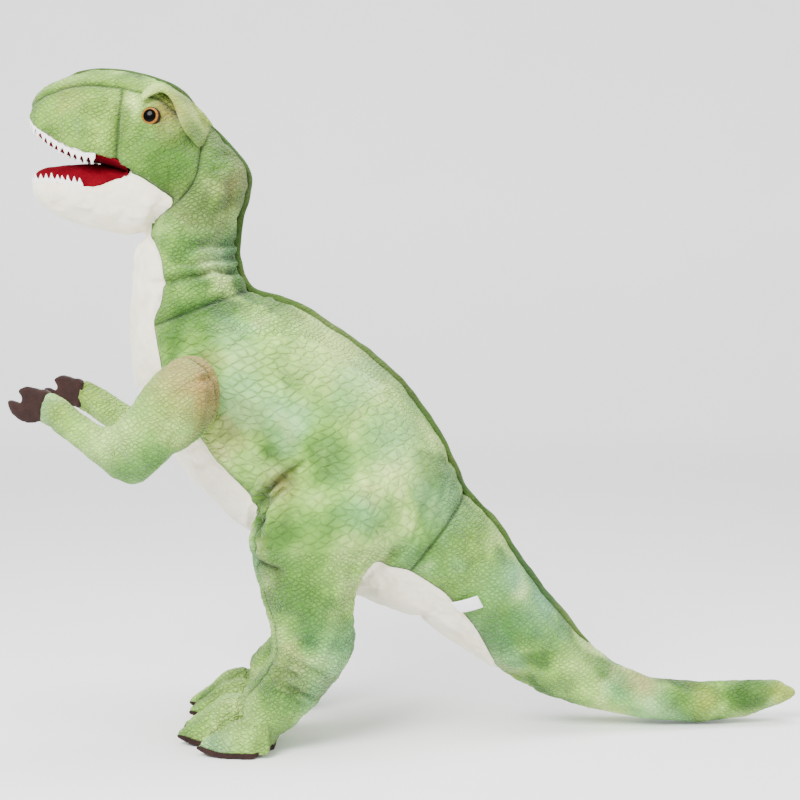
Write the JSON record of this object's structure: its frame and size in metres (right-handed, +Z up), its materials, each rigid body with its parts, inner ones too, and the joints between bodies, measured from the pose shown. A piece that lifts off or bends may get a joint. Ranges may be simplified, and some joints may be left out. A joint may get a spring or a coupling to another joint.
{
  "type": "stuffed dinosaur",
  "caption": "Stuffed two-legged dinosaur with open felt-toothed mouth, soft sprung arms, padded feet and a tail it rests on, sewn from scale-embossed plush.",
  "frame": {"origin": "centre of the bounding box's base, on the surface the feet and the tail rest on", "axes": "+X towards the tail tip, the toy looks along -X, its left side is -Y, +Z up"},
  "size_m": [0.889, 0.3396, 0.7546],
  "materials": {
    "scaled_plush": "short-pile plush, scale-embossed, mottled greens",
    "belly_plush": "smooth cream plush",
    "claw_felt": "dark brown felt",
    "mouth_felt": "crimson felt",
    "tooth_felt": "white felt",
    "stuffing": "polyester fibre fill",
    "eye_plastic": "glossy amber eye with a dark pupil",
    "washer_plastic": "plain moulded washer",
    "label_satin": "blank satin ribbon"
  },
  "bodies": {
    "body": {"belly_panel": "belly_plush", "brow_flap_left": "scaled_plush", "brow_flap_right": "scaled_plush", "cheek_left": "scaled_plush", "cheek_right": "scaled_plush", "chin_panel": "belly_plush", "crown_panel": "scaled_plush", "eye_left": "eye_plastic", "eye_right": "eye_plastic", "eye_washer_left": "washer_plastic", "eye_washer_right": "washer_plastic", "foot_sole_left": "claw_felt", "foot_sole_right": "claw_felt", "head_stuffing": "stuffing", "jaw_lining": "mouth_felt", "jaw_stuffing": "stuffing", "leg_inner_left": "scaled_plush", "leg_inner_right": "scaled_plush", "leg_outer_left": "scaled_plush", "leg_outer_right": "scaled_plush", "leg_stuffing_left": "stuffing", "leg_stuffing_right": "stuffing", "lower_teeth": "tooth_felt", "neck_side_left": "scaled_plush", "neck_side_right": "scaled_plush", "neck_stuffing": "stuffing", "palate_lining": "mouth_felt", "snout_side_left": "scaled_plush", "snout_side_right": "scaled_plush", "spine_strip": "scaled_plush", "tail_side_left": "scaled_plush", "tail_side_right": "scaled_plush", "tail_stuffing": "stuffing", "toe_inner_left": "scaled_plush", "toe_inner_right": "scaled_plush", "toe_middle_left": "scaled_plush", "toe_middle_right": "scaled_plush", "toe_outer_left": "scaled_plush", "toe_outer_right": "scaled_plush", "toe_sole_inner_left": "claw_felt", "toe_sole_inner_right": "claw_felt", "toe_sole_middle_left": "claw_felt", "toe_sole_middle_right": "claw_felt", "toe_sole_outer_left": "claw_felt", "toe_sole_outer_right": "claw_felt", "torso_side_left": "scaled_plush", "torso_side_right": "scaled_plush", "torso_stuffing": "stuffing", "upper_teeth": "tooth_felt"},
    "arm_left": {"arm_sleeve_left": "scaled_plush", "arm_stuffing_left": "stuffing", "hand_left": "claw_felt"},
    "arm_right": {"arm_sleeve_right": "scaled_plush", "arm_stuffing_right": "stuffing", "hand_right": "claw_felt"},
    "label_flap": {"label": "label_satin"}
  },
  "joints": [
    {"name": "left_shoulder", "type": "hinge", "parent": "body", "child": "arm_left", "pos_m": [-0.25, -0.094, 0.394], "axis": [0.3784, 0.9099, 0.1702], "range_deg": [-14, 14], "stiffness_Nm_per_rad": 1.5},
    {"name": "right_shoulder", "type": "hinge", "parent": "body", "child": "arm_right", "pos_m": [-0.25, 0.094, 0.394], "axis": [-0.3784, 0.9099, -0.1702], "range_deg": [-14, 14], "stiffness_Nm_per_rad": 1.5},
    {"name": "label_swing", "type": "hinge", "parent": "body", "child": "label_flap", "pos_m": [0.03406, -0.06781, 0.15509], "axis": [0.6749, 0.2524, -0.6934], "range_deg": [0, 110], "stiffness_Nm_per_rad": 0.001}
  ]
}
